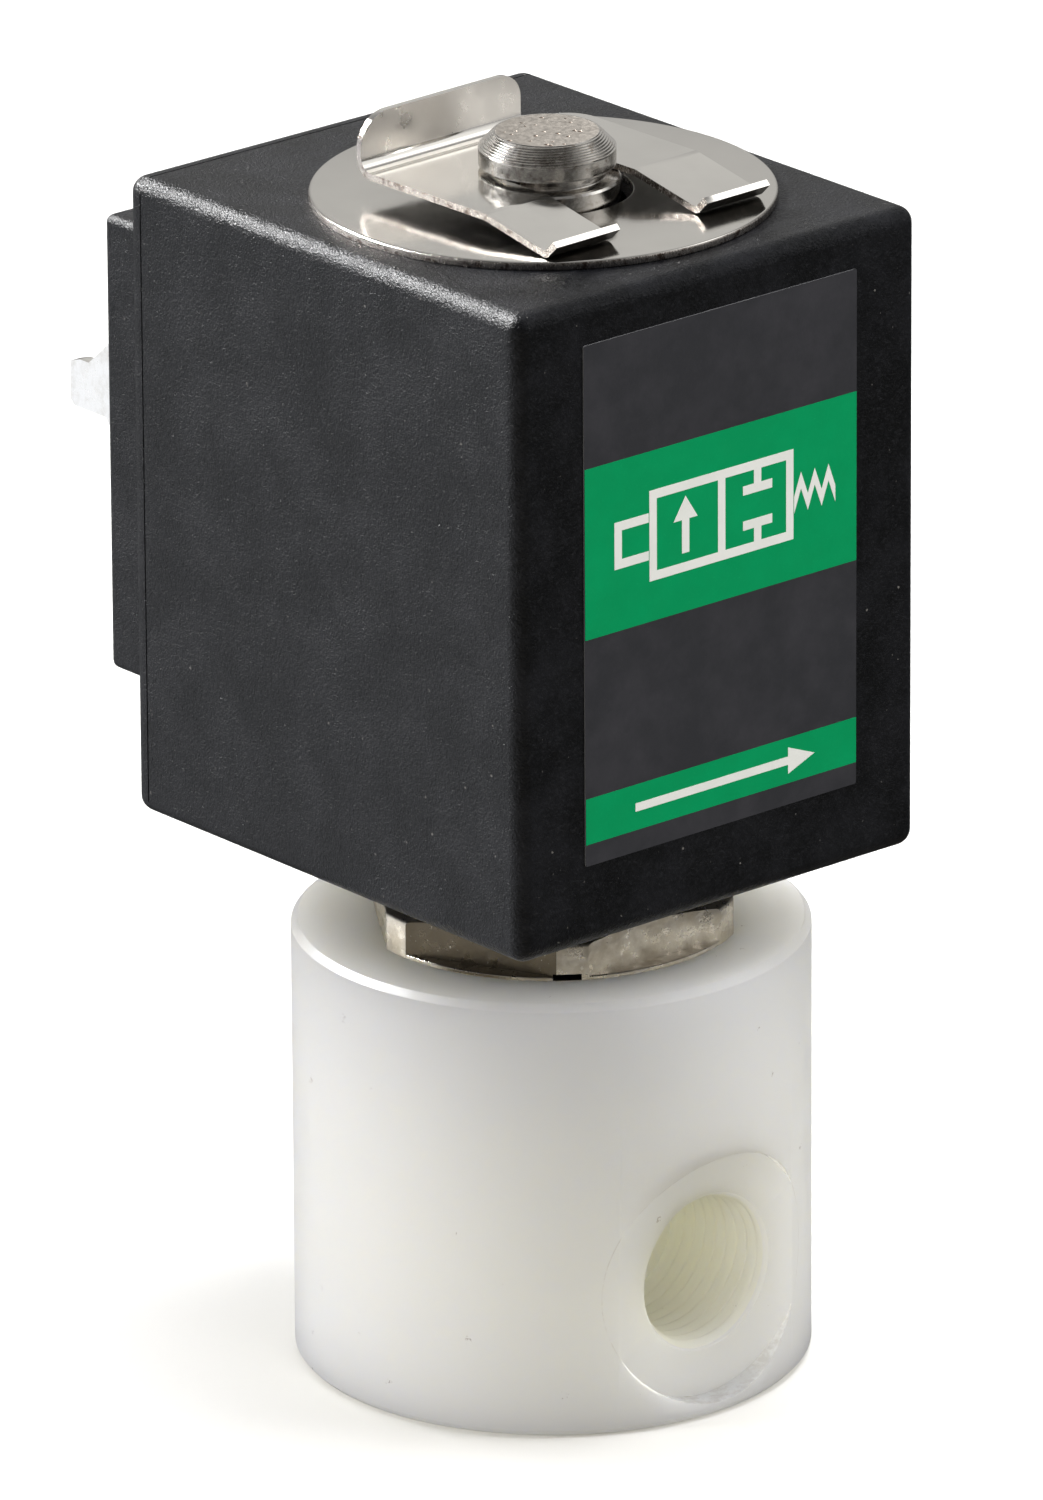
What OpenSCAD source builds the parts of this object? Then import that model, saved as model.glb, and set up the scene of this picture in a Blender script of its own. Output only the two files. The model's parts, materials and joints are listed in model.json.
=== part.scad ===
// Two-way solenoid valve, normally closed, with a bellows that keeps the fluid
// away from the plunger. Millimetres, +Z up, origin at the centre of the base.
// -Y is the front (inlet port and label), +Y is the rear (outlet and terminals).

/* [Valve body] */
// Diameter of the plastic body
body_d = 30; // [29.5:0.5:32]
// Height of the plastic body
body_h = 26.5; // [26:0.5:30]
// Width of the chamfers on the body's edges
body_chamfer = 0.4; // [0.2:0.1:0.8]

/* [Ports] */
// Bore of the two G1/8 ports, at the thread's minor diameter
port_d = 8.57; // [8.5:0.01:8.65]
// Depth of a port behind its spotface
port_depth = 8; // [6:0.5:8]
// Height of the ports' axis above the base
port_z = 8.3; // [7.9:0.1:8.5]
// Diameter of the flat spotface around a port
spotface_d = 15; // [12:0.5:15.5]
// Depth of the spotface below the body's curved side
spotface_depth = 1.5; // [1:0.1:2]
// Diameter of the seat's orifice
orifice_d = 3; // [1.5:0.1:3]
// Diameter of the hole from the seat's chamber to the outlet
transfer_d = 2.4; // [1.5:0.1:2.4]

/* [Bonnet nut] */
// Width across the flats of the nut
nut_af = 20; // [19:0.1:20.5]
// Diameter of the round bar that the flats are milled on
nut_d = 22.1; // [21.8:0.1:23]
// Height of the nut above the body
nut_h = 2.7; // [2:0.1:3.5]
// Angle of the flats, from the front face
nut_turn = -4.4; // [-30:0.1:30]
// Angle of the small notch in the nut's foot, from the front face
notch_turn = -36; // [-180:1:180]

/* [Core tube] */
// Outside diameter of the tube
tube_d = 8.4; // [8.2:0.1:8.6]
// Wall of the tube
tube_wall = 0.4; // [0.3:0.05:0.5]
// Diameter of the head that holds the clip down
head_d = 7.85; // [7.6:0.05:8.2]
// Diameter of the groove under the head
neck_d = 6.5; // [6:0.1:6.6]

/* [Plunger] */
// Lift of the plunger
stroke = 1; // [0.6:0.1:1.2]
// Gap between the plunger and the tube, on the radius
plunger_gap = 0.1; // [0.06:0.01:0.15]
// Turns of the return spring
spring_turns = 11; // [8:1:13]

/* [Coil] */
// Width of the coil
coil_w = 30; // [29:0.5:32]
// Distance from the tube's axis to the coil's front face
coil_front = 14.8; // [14.5:0.1:15.5]
// Distance from the tube's axis to the coil's rear face
coil_rear = 19.4; // [19:0.1:21]
// Height of the coil
coil_h = 38.6; // [38:0.1:42]
// Radius of the coil's outer edges
coil_edge_r = 1; // [0.5:0.1:1.5]
// Thickness of the rubber gasket under the coil
gasket_t = 1.9; // [1:0.1:2.5]

/* [Connector] */
// Width of the connector pad
pad_w = 28; // [26:0.5:28.5]
// Height of the connector pad
pad_h = 27.6; // [26:0.1:28]
// Height of the pad's middle above the coil's base
pad_z = 21.4; // [20:0.1:23]
// Height of the plug's screw above the pad's middle
screw_rise = 0.4; // [0:0.1:0.6]
// How far the pad stands out of the coil's rear face
pad_proud = 3.3; // [1:0.1:5]
// Distance between the two power terminals
terminal_pitch = 18; // [17:0.5:18.5]
// How far the power terminals stand out of the pad
terminal_proud = 8.9; // [7:0.1:12]

/* [Washer and clip] */
// Diameter of the coil washer
washer_d = 26.65; // [24:0.05:28]
// Thickness of the coil washer
washer_t = 0.5; // [0.4:0.05:0.6]
// Width of the retaining clip
clip_w = 16.3; // [15:0.1:18]
// Thickness of the clip's spring steel
clip_t = 0.4; // [0.3:0.05:0.5]
// Turn of the clip about the tube
clip_turn = 1.5; // [-10:0.5:10]

/* [Label] */
// Width of the rating label
label_w = 20.4; // [16:0.1:24]
// Height of the rating label
label_h = 31; // [20:0.5:32]
// Height of the label's lower edge above the coil's base
label_low = 4.95; // [2:0.05:5]
// Thickness of the label
label_t = 0.1; // [0.05:0.05:0.2]

/* [Hidden] */
$fn = 96;

// Small gap between pieces that are moulded or pressed together
fit = 0.02;
// Overrun that lets a cut break cleanly through a face
over = 1;

// Heights inside the valve body
port_face = body_d / 2 - spotface_depth;
port_end = port_face - port_depth;
chamber_d = 11;
chamber_floor = port_z + port_d / 2 + 0.8;
seat_d = 5.6;
seat_h = 1;
seat_z = chamber_floor + seat_h;
transfer_y = 4.1;
bonnet_bore_d = 18;
ledge_z = body_h - 7.3;
bellows_rim_t = 0.4;
clamp_z = ledge_z + bellows_rim_t;
clamp_t = 1;
flange_z = clamp_z + clamp_t;
flange_t = 1;
flange_d = 13;
shank_z = flange_z + flange_t;
shank_d = 17.9;

// Heights of the coil and of what holds it down
nut_top = body_h + nut_h;
coil_z = nut_top + gasket_t;
coil_top = coil_z + coil_h;
washer_top = coil_top + washer_t;
tube_top = coil_top + 1.5;
head_z = tube_top + 0.75;
head_band = 1.1;
head_cone = 0.8;
head_top_d = 6.1;
clip_z = tube_top + 0.05;

// Plunger and fixed core
plunger_d = tube_d - 2 * tube_wall - 2 * plunger_gap;
plunger_z = ledge_z + 3.8;
plunger_top = plunger_z + 22;
core_z = plunger_top + stroke + 0.05;
core_d = tube_d - 2 * tube_wall - 2 * fit;
stem_top = plunger_z + 3;
spring_bore_d = 4.4;
spring_bore_z = plunger_top - 12;
spring_seat_z = core_z + 4;
spring_wire_d = 0.5;
spring_mean_d = 3.7;
shading_d = 6.4;
shading_w = 0.5;
shading_h = 1;
guide_z = plunger_z + 2;
guide_h = 3;
guide_t = 0.4;
stem_d = 3;
poppet_h = 1.5;
poppet_spigot = 1.3;
bellows_z = seat_z + poppet_h;
bellows_folds = 3;
bellows_small_r = 2.6;
bellows_large_r = 4.4;
bellows_wall = 0.3;

// Inside of the coil
coil_bore_d = 9;
bush_bore_d = tube_d + 0.16;
bush_d = 11;
bush_h = 7.7;
yoke_cover = 2.2;
yoke_z = coil_z + yoke_cover;
yoke_t = 2;
yoke_h = coil_h - 2 * yoke_cover;
yoke_w = 27;
yoke_front = 10;
yoke_rear = 12;
bobbin_z = yoke_z + yoke_t;
bobbin_h = yoke_h - 2 * yoke_t;
bobbin_flange_t = 1;
bobbin_d = 22.6;
bobbin_tube_d = 12.8;
winding_d = 21.8;
winding_layers = 26;

// Connector
pad_face = coil_rear + pad_proud;
pad_mid = coil_z + pad_z;
pad_edge_r = 0.5;
terminal_mid = pad_mid + screw_rise;
terminal_t = 0.8;
terminal_w = 6.3;
terminal_tip_w = 2.95;
terminal_tip_l = 2.6;
terminal_root = 17;
insert_l = 7.2;
insert_d = 4.8;
insert_bore_d = 2.5;
ground_drop = 9;
lead_d = 0.7;
lead_x = 6.5;
lead_y = 9.6;
lead_drop = 6;

// Clip
neck_gap = 0.08;
slot_w = neck_d + 2 * neck_gap;
clip_rear = 7.1;
clip_kink = -3.7;
clip_valley = -8.9;
lip_l = 1.1;
tab_w = 12.2;
tab_top = clip_z + clip_t + 3.2;
tab_corner_r = 1.8;
rear_corner_r = 1.5;
bend_r = 0.8;
washer_hole_d = 10.2;
washer_shift = [0.3, 0.7];

// ---------- shapes that repeat ----------

// Flat ring or tube, standing on z
module ring(z, h, outer, inner) {
    translate([0, 0, z]) difference() {
        cylinder(d = outer, h = h);
        translate([0, 0, -over]) cylinder(d = inner, h = h + 2 * over);
    }
}

// Rectangle centred on the origin, with true arcs at its corners
module rounded_rect(size, r) {
    square([size.x - 2 * r, size.y], center = true);
    square([size.x, size.y - 2 * r], center = true);
    for (x = [-1, 1], y = [-1, 1])
        translate([x * (size.x / 2 - r), y * (size.y / 2 - r)]) circle(r = r);
}

// Box centred on the origin, with every edge rounded
module rounded_box(size, r) {
    intersection() {
        linear_extrude(size.z, center = true) rounded_rect([size.x, size.y], r);
        rotate([90, 0, 0]) linear_extrude(size.y, center = true) rounded_rect([size.x, size.z], r);
        rotate([90, 0, 90]) linear_extrude(size.x, center = true) rounded_rect([size.y, size.z], r);
    }
}

// Plain box from its lowest corner to its highest corner
module box_between(low, high) {
    translate(low) cube(high - low);
}

// Round rod between two points
module rod(from, to, d) {
    along = to - from;
    length = norm(along);
    turn = atan2(along.y, along.x);
    lean = acos(along.z / length);
    translate(from) rotate([0, lean, turn]) cylinder(d = d, h = length);
}

// ---------- valve body and its fixed parts ----------

// One port: spotface, threaded bore and the narrow hole behind it
module port_cut(hole_end) {
    translate([0, 0, port_z]) rotate([90, 0, 0]) {
        translate([0, 0, port_face]) cylinder(d = spotface_d, h = spotface_depth + over);
        translate([0, 0, port_end]) cylinder(d = port_d, h = port_depth + over);
        translate([0, 0, hole_end]) cylinder(d = orifice_d + 0.2, h = port_end - hole_end + over);
    }
}

module valve_body() {
    r = body_d / 2;
    c = body_chamfer;
    color("white") difference() {
        rotate_extrude() polygon([
            [0, 0], [r - c, 0], [r, c], [r, body_h - c], [r - c, body_h], [0, body_h]
        ]);
        port_cut(0);
        rotate([0, 0, 180]) port_cut(transfer_y - 0.5);
        // Orifice up to the seat
        translate([0, 0, port_z]) cylinder(d = orifice_d, h = seat_z - port_z + over);
        // Hole from the bellows chamber down to the outlet
        translate([0, transfer_y, port_z]) cylinder(d = transfer_d, h = chamber_floor - port_z + over);
        ring(chamber_floor, ledge_z - chamber_floor + over, chamber_d, seat_d);
        translate([0, 0, seat_z]) cylinder(d = chamber_d, h = ledge_z - seat_z + over);
        translate([0, 0, ledge_z]) cylinder(d = bonnet_bore_d, h = body_h - ledge_z + over);
    }
}

module bonnet_nut() {
    foot = 0.25;
    chamfer_in = 1.3;
    chamfer_down = 0.52;
    notch = [1.65, 2, 0.4];
    r = nut_d / 2;
    color("darkkhaki") difference() {
        union() {
            translate([0, 0, body_h]) cylinder(d = nut_d, h = foot);
            intersection() {
                rotate([0, 0, nut_turn]) translate([0, 0, body_h])
                    cylinder(d = nut_af / cos(30), h = nut_h, $fn = 6);
                translate([0, 0, body_h]) rotate_extrude() polygon([
                    [0, 0], [r, 0], [r, nut_h - chamfer_down], [r - chamfer_in, nut_h], [0, nut_h]
                ]);
            }
            translate([0, 0, shank_z]) cylinder(d = shank_d, h = body_h - shank_z + foot);
        }
        translate([0, 0, shank_z - over]) cylinder(d = tube_d + 0.2, h = nut_top - shank_z + 2 * over);
        rotate([0, 0, notch_turn]) translate([-notch.x / 2, -r - over, body_h - over])
            cube([notch.x, notch.y, notch.z + over]);
    }
}

module core_tube() {
    r = tube_d / 2;
    flange = flange_d / 2;
    edge = 0.12;
    color("silver") rotate_extrude() polygon([
        [r - tube_wall, flange_z], [flange, flange_z], [flange, shank_z], [r, shank_z],
        [r, tube_top - edge], [r - edge, tube_top], [r - tube_wall, tube_top]
    ]);
}

module fixed_core() {
    neck = neck_d / 2;
    head = head_d / 2;
    groove_out = shading_d / 2 + fit;
    groove_in = shading_d / 2 - shading_w - fit;
    groove_top = core_z + shading_h + fit;
    color("lightgray") rotate_extrude() polygon([
        [spring_bore_d / 2, core_z], [groove_in, core_z], [groove_in, groove_top],
        [groove_out, groove_top], [groove_out, core_z], [core_d / 2, core_z],
        [core_d / 2, tube_top], [neck, tube_top], [neck, head_z], [head, head_z],
        [head, head_z + head_band], [head_top_d / 2, head_z + head_band + head_cone],
        [0, head_z + head_band + head_cone], [0, spring_seat_z], [spring_bore_d / 2, spring_seat_z]
    ]);
}

module shading_ring() {
    color("peru") ring(core_z, shading_h, shading_d, shading_d - 2 * shading_w);
}

module tube_o_ring() {
    mean_r = (flange_d + bonnet_bore_d) / 4;
    color("dimgray") translate([0, 0, flange_z + flange_t / 2])
        rotate_extrude() translate([mean_r, 0]) circle(d = flange_t, $fn = 32);
}

module bellows_clamp_ring() {
    color("gainsboro") ring(clamp_z, clamp_t, bonnet_bore_d - 0.2, seat_d);
}

// Zigzag wall of the bellows, from the poppet up to the rim
function fold_r(k) = k % 2 == 0 ? bellows_small_r : bellows_large_r;
function fold_z(k) = bellows_z + k * (ledge_z - bellows_z) / (2 * bellows_folds);

module bellows() {
    half = bellows_wall / 2;
    last = 2 * bellows_folds;
    rim_r = bonnet_bore_d / 2 - 0.1;
    outer = [for (k = [0 : last]) [fold_r(k) + half, fold_z(k)]];
    inner = [for (k = [last : -1 : 0]) [fold_r(k) - half, fold_z(k)]];
    rim = [[rim_r, ledge_z], [rim_r, clamp_z], [bellows_small_r - half, clamp_z]];
    color("whitesmoke") rotate_extrude() polygon(concat(outer, rim, inner));
}

module coil_gasket() {
    color("dimgray") ring(nut_top, gasket_t, 17, tube_d + 0.2);
}

module coil_washer() {
    color("silver") translate([washer_shift.x, washer_shift.y, 0])
        ring(coil_top, washer_t, washer_d, washer_hole_d);
}

// ---------- moving parts inside the tube ----------

module plunger() {
    r = plunger_d / 2;
    groove = r - guide_t;
    c = 0.3;
    color("silver") rotate_extrude() polygon([
        [stem_d / 2, plunger_z], [r - c, plunger_z], [r, plunger_z + c], [r, guide_z],
        [groove, guide_z], [groove, guide_z + guide_h], [r, guide_z + guide_h],
        [r, plunger_top - c], [r - c, plunger_top], [spring_bore_d / 2, plunger_top],
        [spring_bore_d / 2, spring_bore_z], [0, spring_bore_z], [0, stem_top], [stem_d / 2, stem_top]
    ]);
}

// Split ring of low-friction plastic that guides the plunger
module guide_ring() {
    split = 0.5;
    outer = plunger_d + plunger_gap;
    inner = plunger_d - 2 * guide_t + 2 * fit;
    color("ivory") difference() {
        ring(guide_z + fit, guide_h - 2 * fit, outer, inner);
        box_between([0, -split / 2, guide_z - over], [plunger_d, split / 2, guide_z + guide_h + over]);
    }
}

// Wire wound up a helix, with flat ends
module return_spring() {
    low = spring_bore_z + spring_wire_d / 2;
    high = spring_seat_z - spring_wire_d / 2;
    steps = 14 * spring_turns;
    sides = 6;
    pitch = (high - low) / spring_turns;
    rise = atan2(pitch, PI * spring_mean_d);
    wire_r = spring_wire_d / 2;
    points = [for (i = [0 : steps]) let (a = 360 * spring_turns * i / steps)
        for (j = [0 : sides - 1]) let (
            b = 360 * j / sides,
            out = wire_r * cos(b),
            up = wire_r * sin(b),
            r = spring_mean_d / 2 + out
        ) [
            r * cos(a) + up * sin(rise) * sin(a),
            r * sin(a) - up * sin(rise) * cos(a),
            low + (high - low) * i / steps + up * cos(rise)
        ]];
    side_faces = [for (i = [0 : steps - 1], j = [0 : sides - 1]) let (k = (j + 1) % sides)
        [i * sides + j, (i + 1) * sides + j, (i + 1) * sides + k, i * sides + k]];
    start_face = [for (j = [0 : sides - 1]) j];
    end_face = [for (j = [sides - 1 : -1 : 0]) steps * sides + j];
    color("silver") polyhedron(points, concat(side_faces, [start_face, end_face]), convexity = 10);
}

module plunger_stem() {
    r = stem_d / 2 - fit;
    c = 0.3;
    low = bellows_z - 0.6;
    color("lightgray") rotate_extrude() polygon([
        [0, low], [r - c, low], [r, low + c], [r, stem_top - c], [r - c, stem_top], [0, stem_top]
    ]);
}

module poppet() {
    r = seat_d / 2;
    spigot_r = 1.95;
    bore_z = bellows_z - 0.7;
    color("white") rotate_extrude() polygon([
        [0, seat_z], [r, seat_z], [r, bellows_z], [spigot_r, bellows_z],
        [spigot_r, bellows_z + poppet_spigot], [stem_d / 2, bellows_z + poppet_spigot],
        [stem_d / 2, bore_z], [0, bore_z]
    ]);
}

// ---------- coil ----------

// Steel frame round the winding, grown by gap where it is cut out of the housing
module yoke_frame(gap) {
    low = [-yoke_w / 2 - gap, -yoke_front - gap, yoke_z - gap];
    high = [yoke_w / 2 + gap, yoke_rear + gap, yoke_z + yoke_h + gap];
    inside = yoke_t + gap;
    difference() {
        box_between(low, high);
        box_between(
            [low.x + inside + gap, low.y - over, low.z + inside + gap],
            [high.x - inside - gap, high.y + over, high.z - inside - gap]
        );
    }
}

// Outline of a power terminal, seen from the side: Y across and Z up
module power_terminal_outline(gap) {
    tip_y = pad_face + terminal_proud;
    low = terminal_mid - terminal_w / 2;
    high = terminal_mid + terminal_w / 2;
    tip_low = terminal_mid - terminal_tip_w / 2;
    tip_high = terminal_mid + terminal_tip_w / 2;
    shoulder = tip_y - terminal_tip_l;
    // The narrow tip grows to the full blade over a slope, steeper below than above
    slope_low = 1.3;
    slope_high = 1.9;
    bevel = 0.3;
    polygon([
        [terminal_root - gap, low - gap], [shoulder - 2 * bevel - slope_low, low - gap],
        [shoulder - 2 * bevel, tip_low], [tip_y - bevel, tip_low], [tip_y, tip_low + bevel],
        [tip_y, tip_high - bevel], [tip_y - 3 * bevel, tip_high], [shoulder + 3 * bevel, tip_high],
        [shoulder + 3 * bevel - slope_high, high + gap], [terminal_root - gap, high + gap]
    ]);
}

module power_terminal(x, gap) {
    t = terminal_t + 2 * gap;
    translate([x - t / 2, 0, 0]) rotate([90, 0, 90]) linear_extrude(t) power_terminal_outline(gap);
}

// Flat blade with a strap that runs down to the yoke
module ground_terminal_shape(gap) {
    z = terminal_mid - ground_drop;
    w = terminal_w / 2 + gap;
    t = terminal_t / 2 + gap;
    tip_y = pad_face + terminal_proud;
    tip = 0.8;
    strap_y = yoke_rear + terminal_t;
    translate([0, 0, z - t]) linear_extrude(2 * t) polygon([
        [-w, yoke_rear - gap], [w, yoke_rear - gap], [w, tip_y - tip], [w - tip, tip_y],
        [tip - w, tip_y], [-w, tip_y - tip]
    ]);
    box_between([-w, yoke_rear - gap, yoke_z - gap], [w, strap_y + gap, z + t]);
}

module lead_wires(gap) {
    for (side = [-1, 1])
        rod(
            [side * lead_x, lead_y, bobbin_z + bobbin_h - lead_drop],
            [side * terminal_pitch / 2, terminal_root - lead_d, terminal_mid + 1],
            lead_d + 2 * gap
        );
}

module coil_housing() {
    depth = coil_front + coil_rear;
    pad_root = 6;
    color([0.09, 0.09, 0.1]) difference() {
        union() {
            translate([0, (coil_rear - coil_front) / 2, coil_z + coil_h / 2])
                rounded_box([coil_w, depth, coil_h], coil_edge_r);
            translate([0, pad_face - (pad_proud + pad_root) / 2, pad_mid])
                rounded_box([pad_w, pad_proud + pad_root, pad_h], pad_edge_r);
        }
        translate([0, 0, coil_z - over]) cylinder(d = coil_bore_d, h = coil_h + 2 * over);
        translate([0, 0, yoke_z - fit]) cylinder(d = bush_d + 2 * fit, h = yoke_h + 2 * fit);
        translate([0, 0, bobbin_z]) cylinder(d = bobbin_d + 2 * fit, h = bobbin_h);
        yoke_frame(fit);
        for (side = [-1, 1]) power_terminal(side * terminal_pitch / 2, fit);
        ground_terminal_shape(fit);
        lead_wires(0.05);
        translate([0, pad_face - insert_l - fit, terminal_mid]) rotate([-90, 0, 0])
            cylinder(d = insert_d + 2 * fit, h = insert_l + over);
    }
}

module bobbin() {
    notch_h = 4;
    color("tan") difference() {
        union() {
            ring(bobbin_z + fit, bobbin_h - 2 * fit, bobbin_tube_d, bush_d + 0.2);
            for (z = [bobbin_z + fit, bobbin_z + bobbin_h - bobbin_flange_t - fit])
                ring(z, bobbin_flange_t, bobbin_d, bush_d + 0.2);
        }
        // Notches where the winding's two ends leave
        for (side = [-1, 1])
            translate([side * lead_x, lead_y, bobbin_z + bobbin_h - notch_h])
                cylinder(d = 2 * lead_d + 0.2, h = notch_h + over);
    }
}

// Copper wire wound in layers, with a ridge for each turn on the outside
module winding() {
    low = bobbin_z + bobbin_flange_t + 2 * fit;
    high = bobbin_z + bobbin_h - bobbin_flange_t - 2 * fit;
    inner = bobbin_tube_d / 2 + fit;
    step = (high - low) / winding_layers;
    ridge = 0.15;
    outer = winding_d / 2;
    side = [for (k = [0 : winding_layers - 1])
        each [[outer - ridge, low + k * step], [outer, low + (k + 0.5) * step]]];
    color("sienna") rotate_extrude()
        polygon(concat([[inner, high], [inner, low]], side, [[outer - ridge, high]]));
}

module yoke() {
    color("slategray") difference() {
        yoke_frame(0);
        translate([0, 0, yoke_z - over]) cylinder(d = bush_d + 2 * fit, h = yoke_h + 2 * over);
    }
}

module lower_flux_bush() {
    color("gray") ring(yoke_z, bush_h, bush_d, bush_bore_d);
}

module upper_flux_bush() {
    color("gray") ring(yoke_z + yoke_h - bush_h, bush_h, bush_d, bush_bore_d);
}

module power_terminals() {
    color("gainsboro") for (side = [-1, 1]) power_terminal(side * terminal_pitch / 2, 0);
}

module ground_terminal() {
    color("gainsboro") ground_terminal_shape(0);
}

// Brass insert that takes the plug's M3 screw
module screw_insert() {
    r = insert_d / 2;
    hole = insert_bore_d / 2;
    hole_end = insert_l - 1;
    // Groove that holds the insert in the moulding
    groove = 0.4;
    groove_from = 3;
    groove_to = 4.6;
    color("goldenrod") translate([0, pad_face, terminal_mid]) rotate([90, 0, 0])
        rotate_extrude() polygon([
            [hole, 0], [r, 0], [r, groove_from], [r - groove, groove_from + groove],
            [r - groove, groove_to - groove], [r, groove_to], [r, insert_l], [0, insert_l],
            [0, hole_end], [hole, hole_end]
        ]);
}

module coil_leads() {
    color("firebrick") lead_wires(0);
}

module rating_label() {
    label_mid = coil_z + label_low + label_h / 2;
    color([0.2, 0.2, 0.22]) translate([0, -coil_front, label_mid]) rotate([90, 0, 0])
        linear_extrude(label_t) rounded_rect([label_w, label_h], 0.3);
}

// ---------- clip ----------

// Points of an arc about centre, from one angle to another
function arc(centre, r, from, to, steps = 8) =
    [for (i = [0 : steps]) let (a = from + (to - from) * i / steps) centre + r * [cos(a), sin(a)]];

// Side view of the clip, Y across and Z up, with its tab or without it
module clip_profile(with_tab) {
    valley = [clip_valley, washer_top + 0.02];
    slope = atan2(clip_z - valley.y, clip_kink - valley.x);
    lip_angle = 135;
    lip_end = valley + lip_l * [cos(lip_angle), sin(lip_angle)];
    fold = (lip_angle - slope) / 2;
    valley_top = valley + clip_t / sin(fold) * [cos(slope + fold), sin(slope + fold)];
    kink_top = [clip_kink - clip_t * tan(slope / 2), clip_z + clip_t];
    lip_top = lip_end + clip_t * [sin(lip_angle), -cos(lip_angle)];
    bend = [clip_rear - clip_t - bend_r, clip_z + clip_t + bend_r];
    rear_bend = concat(
        arc(bend, bend_r + clip_t, -90, 0),
        [[clip_rear, tab_top], [clip_rear - clip_t, tab_top]],
        arc(bend, bend_r, 0, -90)
    );
    rear_flat = [[clip_rear, clip_z], [clip_rear, clip_z + clip_t]];
    polygon(concat(
        [lip_end, valley, [clip_kink, clip_z]],
        with_tab ? rear_bend : rear_flat,
        [kink_top, valley_top, lip_top]
    ));
}

module clip_strip(from_x, to_x, with_tab) {
    translate([from_x, 0, 0]) rotate([90, 0, 90]) linear_extrude(to_x - from_x) clip_profile(with_tab);
}

module retaining_clip() {
    left = -clip_w / 2;
    right = clip_w / 2;
    tab_end = left + tab_w;
    color("silver") rotate([0, 0, clip_turn]) difference() {
        union() {
            // Strip with the finger tab, whose upper corners are round
            intersection() {
                clip_strip(left, tab_end, true);
                translate([left + tab_w / 2, 0, tab_top - clip_w]) rotate([90, 0, 0])
                    linear_extrude(4 * clip_w, center = true)
                        rounded_rect([tab_w, 2 * clip_w], tab_corner_r);
            }
            // Strip beside the tab, with a round rear corner
            intersection() {
                clip_strip(tab_end, right, false);
                translate([0, clip_rear - clip_w, clip_z]) linear_extrude(clip_w, center = true)
                    rounded_rect([clip_w, 2 * clip_w], rear_corner_r);
            }
        }
        // Slot from the prongs' tips to its round end behind the tube's neck
        translate([0, 0, coil_top]) cylinder(d = slot_w, h = clip_w);
        box_between([-slot_w / 2, clip_valley - 2 * lip_l, coil_top], [slot_w / 2, 0, tab_top]);
    }
}

valve_body();
bonnet_nut();
core_tube();
fixed_core();
shading_ring();
tube_o_ring();
bellows_clamp_ring();
bellows();
coil_gasket();
coil_washer();
plunger();
guide_ring();
return_spring();
plunger_stem();
poppet();
coil_housing();
bobbin();
winding();
yoke();
lower_flux_bush();
upper_flux_bush();
power_terminals();
ground_terminal();
screw_insert();
coil_leads();
rating_label();
retaining_clip();
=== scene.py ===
# Looks of the solenoid valve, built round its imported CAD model.
# Shapes are written in millimetres, +Z up, -Y the front, and turned into metres as they are made.
import json
from math import acos, atan2, cos, pi, radians, sin, sqrt, tan

import bmesh
import bpy
from mathutils import Matrix, Vector


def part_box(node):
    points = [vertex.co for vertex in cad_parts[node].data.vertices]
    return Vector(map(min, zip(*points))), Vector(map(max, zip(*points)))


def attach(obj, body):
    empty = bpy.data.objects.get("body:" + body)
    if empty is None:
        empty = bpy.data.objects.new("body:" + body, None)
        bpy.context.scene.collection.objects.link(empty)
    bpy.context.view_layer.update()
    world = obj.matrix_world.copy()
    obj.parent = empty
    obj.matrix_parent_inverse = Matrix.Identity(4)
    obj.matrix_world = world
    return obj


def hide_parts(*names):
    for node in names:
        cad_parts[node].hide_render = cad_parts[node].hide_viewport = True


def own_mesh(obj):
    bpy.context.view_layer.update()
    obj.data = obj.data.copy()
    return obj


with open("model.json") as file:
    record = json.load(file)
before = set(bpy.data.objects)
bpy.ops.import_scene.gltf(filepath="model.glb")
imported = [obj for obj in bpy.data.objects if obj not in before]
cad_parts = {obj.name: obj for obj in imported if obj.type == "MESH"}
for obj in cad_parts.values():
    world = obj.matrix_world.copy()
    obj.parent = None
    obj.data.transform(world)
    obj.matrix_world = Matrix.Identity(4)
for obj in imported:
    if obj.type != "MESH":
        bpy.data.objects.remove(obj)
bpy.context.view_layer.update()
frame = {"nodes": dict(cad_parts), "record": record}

MM = 0.001
nodes = frame["nodes"]
mounts = {m["name"]: m for m in frame["record"]["mounts"]}


def corners(node):
    """Lowest and highest corner of a CAD node, in millimetres."""
    low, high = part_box(node)
    return low / MM, high / MM


def mount_place(name):
    """A mount's position, in millimetres."""
    return Vector(mounts[name]["pos_m"]) / MM


# ---------------------------------------------------------------- shape helpers


def fillet(points, radii, closed=True, steps=6):
    """The points of an outline, with an arc of the given radius at each corner."""
    count = len(points)
    if not isinstance(radii, (list, tuple)):
        radii = [radii] * count
    made = []
    for i, point in enumerate(points):
        here = Vector(point)
        at_end = not closed and i in (0, count - 1)
        if at_end or radii[i] <= 0:
            made.append(tuple(here))
            continue
        to_last = (Vector(points[i - 1]) - here).normalized()
        to_next = (Vector(points[(i + 1) % count]) - here).normalized()
        half = acos(max(-1, min(1, to_last.dot(to_next)))) / 2
        if half > pi / 2 - 0.01:
            made.append(tuple(here))
            continue
        centre = here + (to_last + to_next).normalized() * radii[i] / sin(half)
        reach = radii[i] / tan(half)
        start = here + to_last * reach - centre
        end = here + to_next * reach - centre
        turn = atan2(start.x * end.y - start.y * end.x, start.dot(end))
        for k in range(steps + 1):
            angle = turn * k / steps
            spun = Vector((
                start.x * cos(angle) - start.y * sin(angle),
                start.x * sin(angle) + start.y * cos(angle),
            ))
            made.append(tuple(centre + spun))
    return made


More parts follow.
